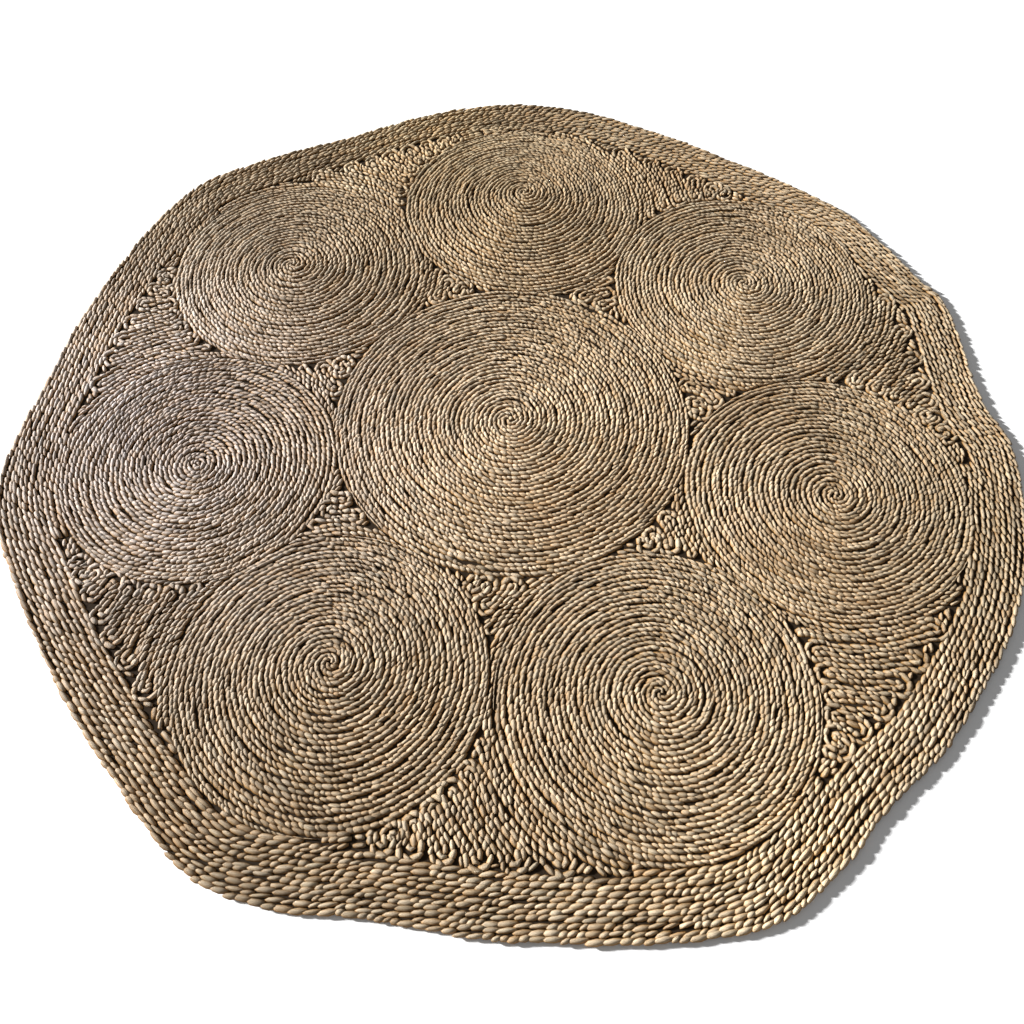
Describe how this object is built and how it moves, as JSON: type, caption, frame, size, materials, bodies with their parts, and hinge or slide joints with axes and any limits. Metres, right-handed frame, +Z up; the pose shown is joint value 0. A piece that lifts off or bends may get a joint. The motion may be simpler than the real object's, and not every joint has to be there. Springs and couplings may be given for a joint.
{
  "type": "woven cattail rug",
  "caption": "Flat plaited cattail rug: coiled round medallions in a ring about a larger one, looped gussets between them and an uneven, rounded border of plaited rows.",
  "frame": {"origin": "middle of the centre medallion's underside, on the floor", "axes": "+Z up from the floor through the rug's thickness; +Y towards medallion_1 (which lies 1.2 degrees clockwise of it), +X to the right of it seen from above"},
  "size_m": [2.0001, 2.0003, 0.012],
  "materials": {
    "medallion": "dry plaited cattail leaf, sewn in coils",
    "gusset": "dry plaited cattail leaf, laid back and forth",
    "border": "dry plaited cattail leaf, in rows round the edge"
  },
  "bodies": {
    "root": {"medallion_center": "medallion", "medallion_1": "medallion", "medallion_2": "medallion", "medallion_3": "medallion", "medallion_4": "medallion", "medallion_5": "medallion", "medallion_6": "medallion", "medallion_7": "medallion", "gusset_inner_1": "gusset", "gusset_inner_2": "gusset", "gusset_inner_3": "gusset", "gusset_inner_4": "gusset", "gusset_inner_5": "gusset", "gusset_inner_6": "gusset", "gusset_inner_7": "gusset", "gusset_outer_1": "gusset", "gusset_outer_2": "gusset", "gusset_outer_3": "gusset", "gusset_outer_4": "gusset", "gusset_outer_5": "gusset", "gusset_outer_6": "gusset", "gusset_outer_7": "gusset", "border": "border"}
  },
  "joints": []
}
